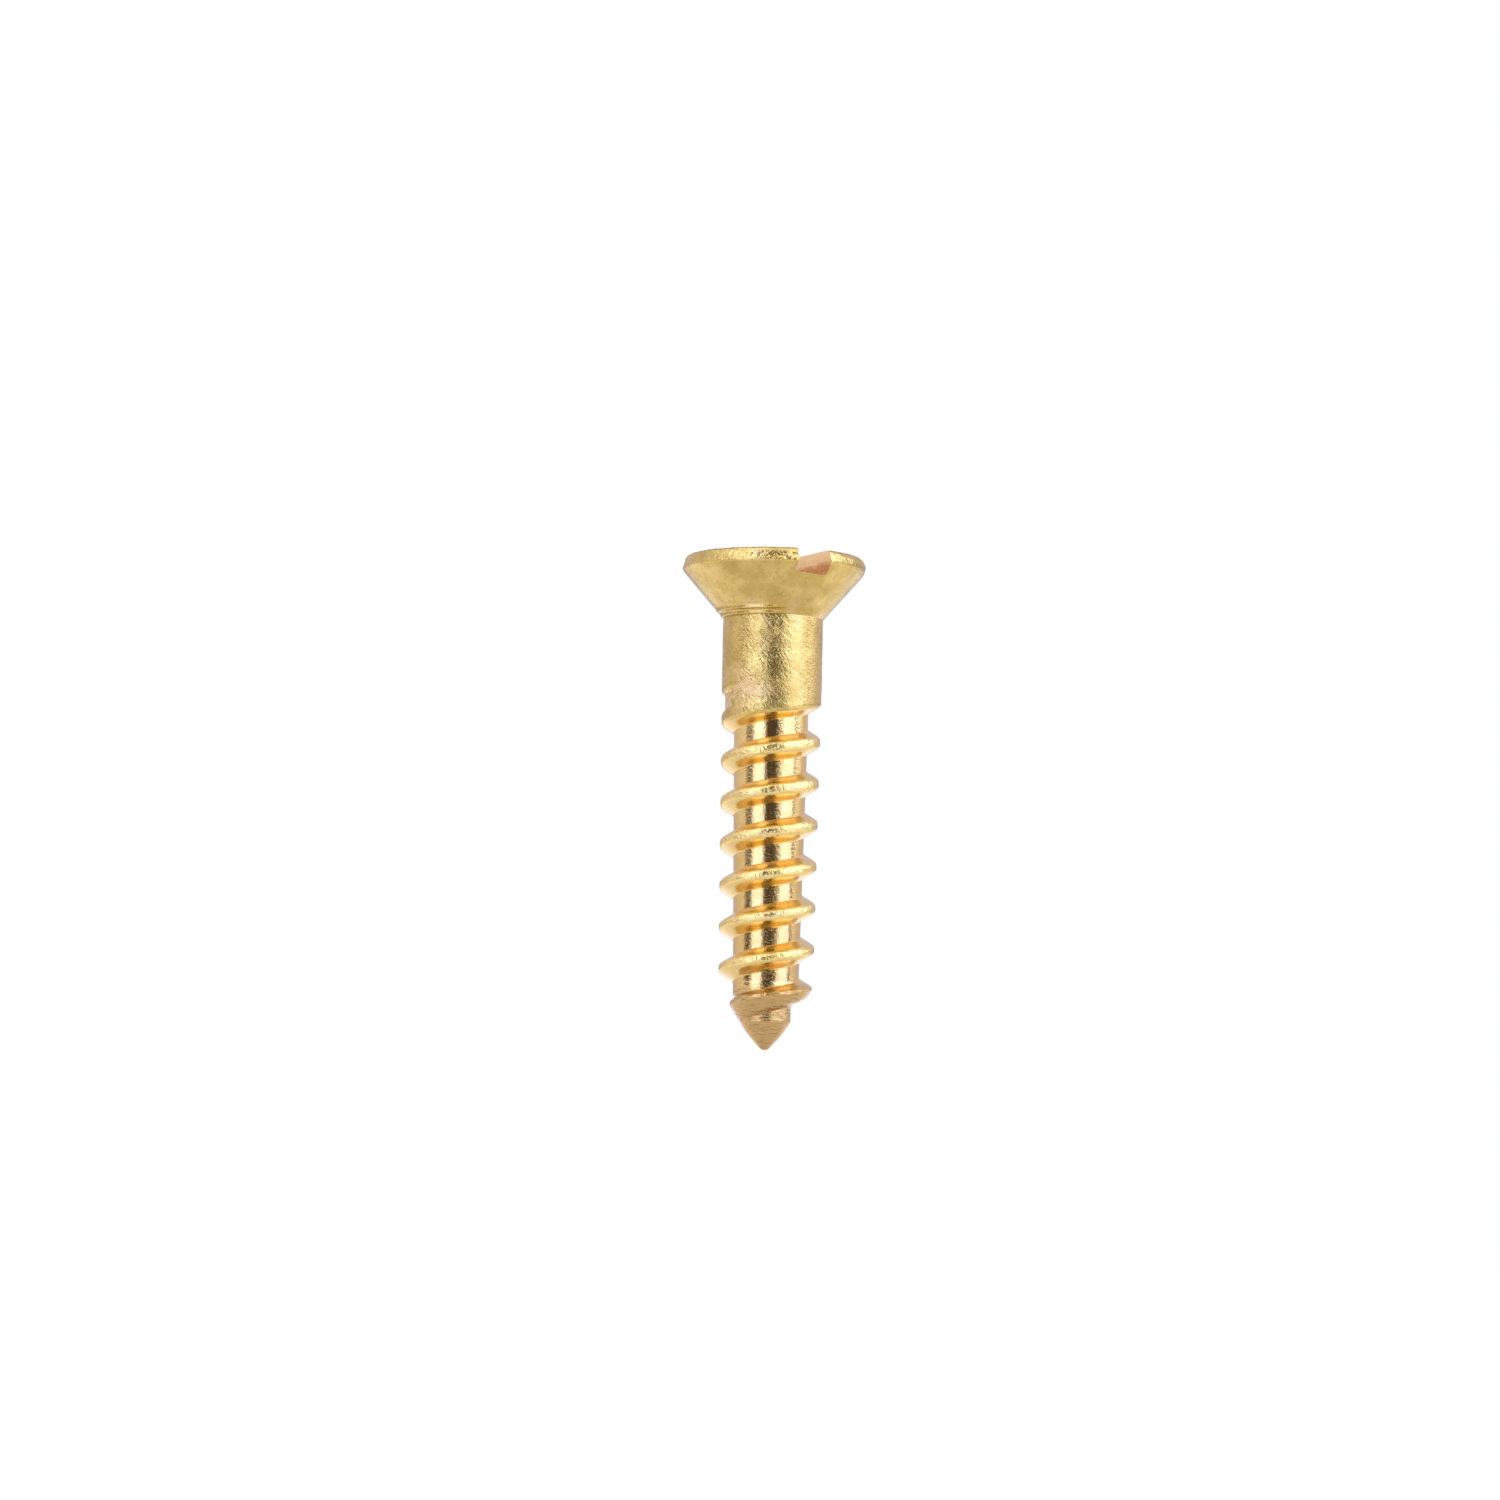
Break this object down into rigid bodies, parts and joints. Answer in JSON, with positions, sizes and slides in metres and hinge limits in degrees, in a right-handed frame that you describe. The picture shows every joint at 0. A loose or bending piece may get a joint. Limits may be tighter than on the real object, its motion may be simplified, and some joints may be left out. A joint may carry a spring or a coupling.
{
  "type": "wood screw",
  "caption": "Slotted countersunk wood screw in brass: flat head on a cone, short plain shank, tapering right-hand thread cut down to a sharp point.",
  "frame": {"origin": "centre of the head's flat top face, at the mouth of the driver slot", "axes": "+Z along the screw's axis, out of the head; the tip points down along -Z and the driver slot runs along Y"},
  "size_m": [0.0074, 0.0074, 0.02],
  "materials": {
    "blank_brass": "tumbled satin brass with a fine grain, small pits and tool scratches",
    "thread_brass": "cut brass flanks with grainy satin crests",
    "cut_brass": "freshly cut, bright brass with fine turning lines"
  },
  "bodies": {
    "root": {"head": "blank_brass", "shank": "blank_brass", "core": "cut_brass", "thread": "thread_brass", "point": "cut_brass"}
  },
  "joints": []
}
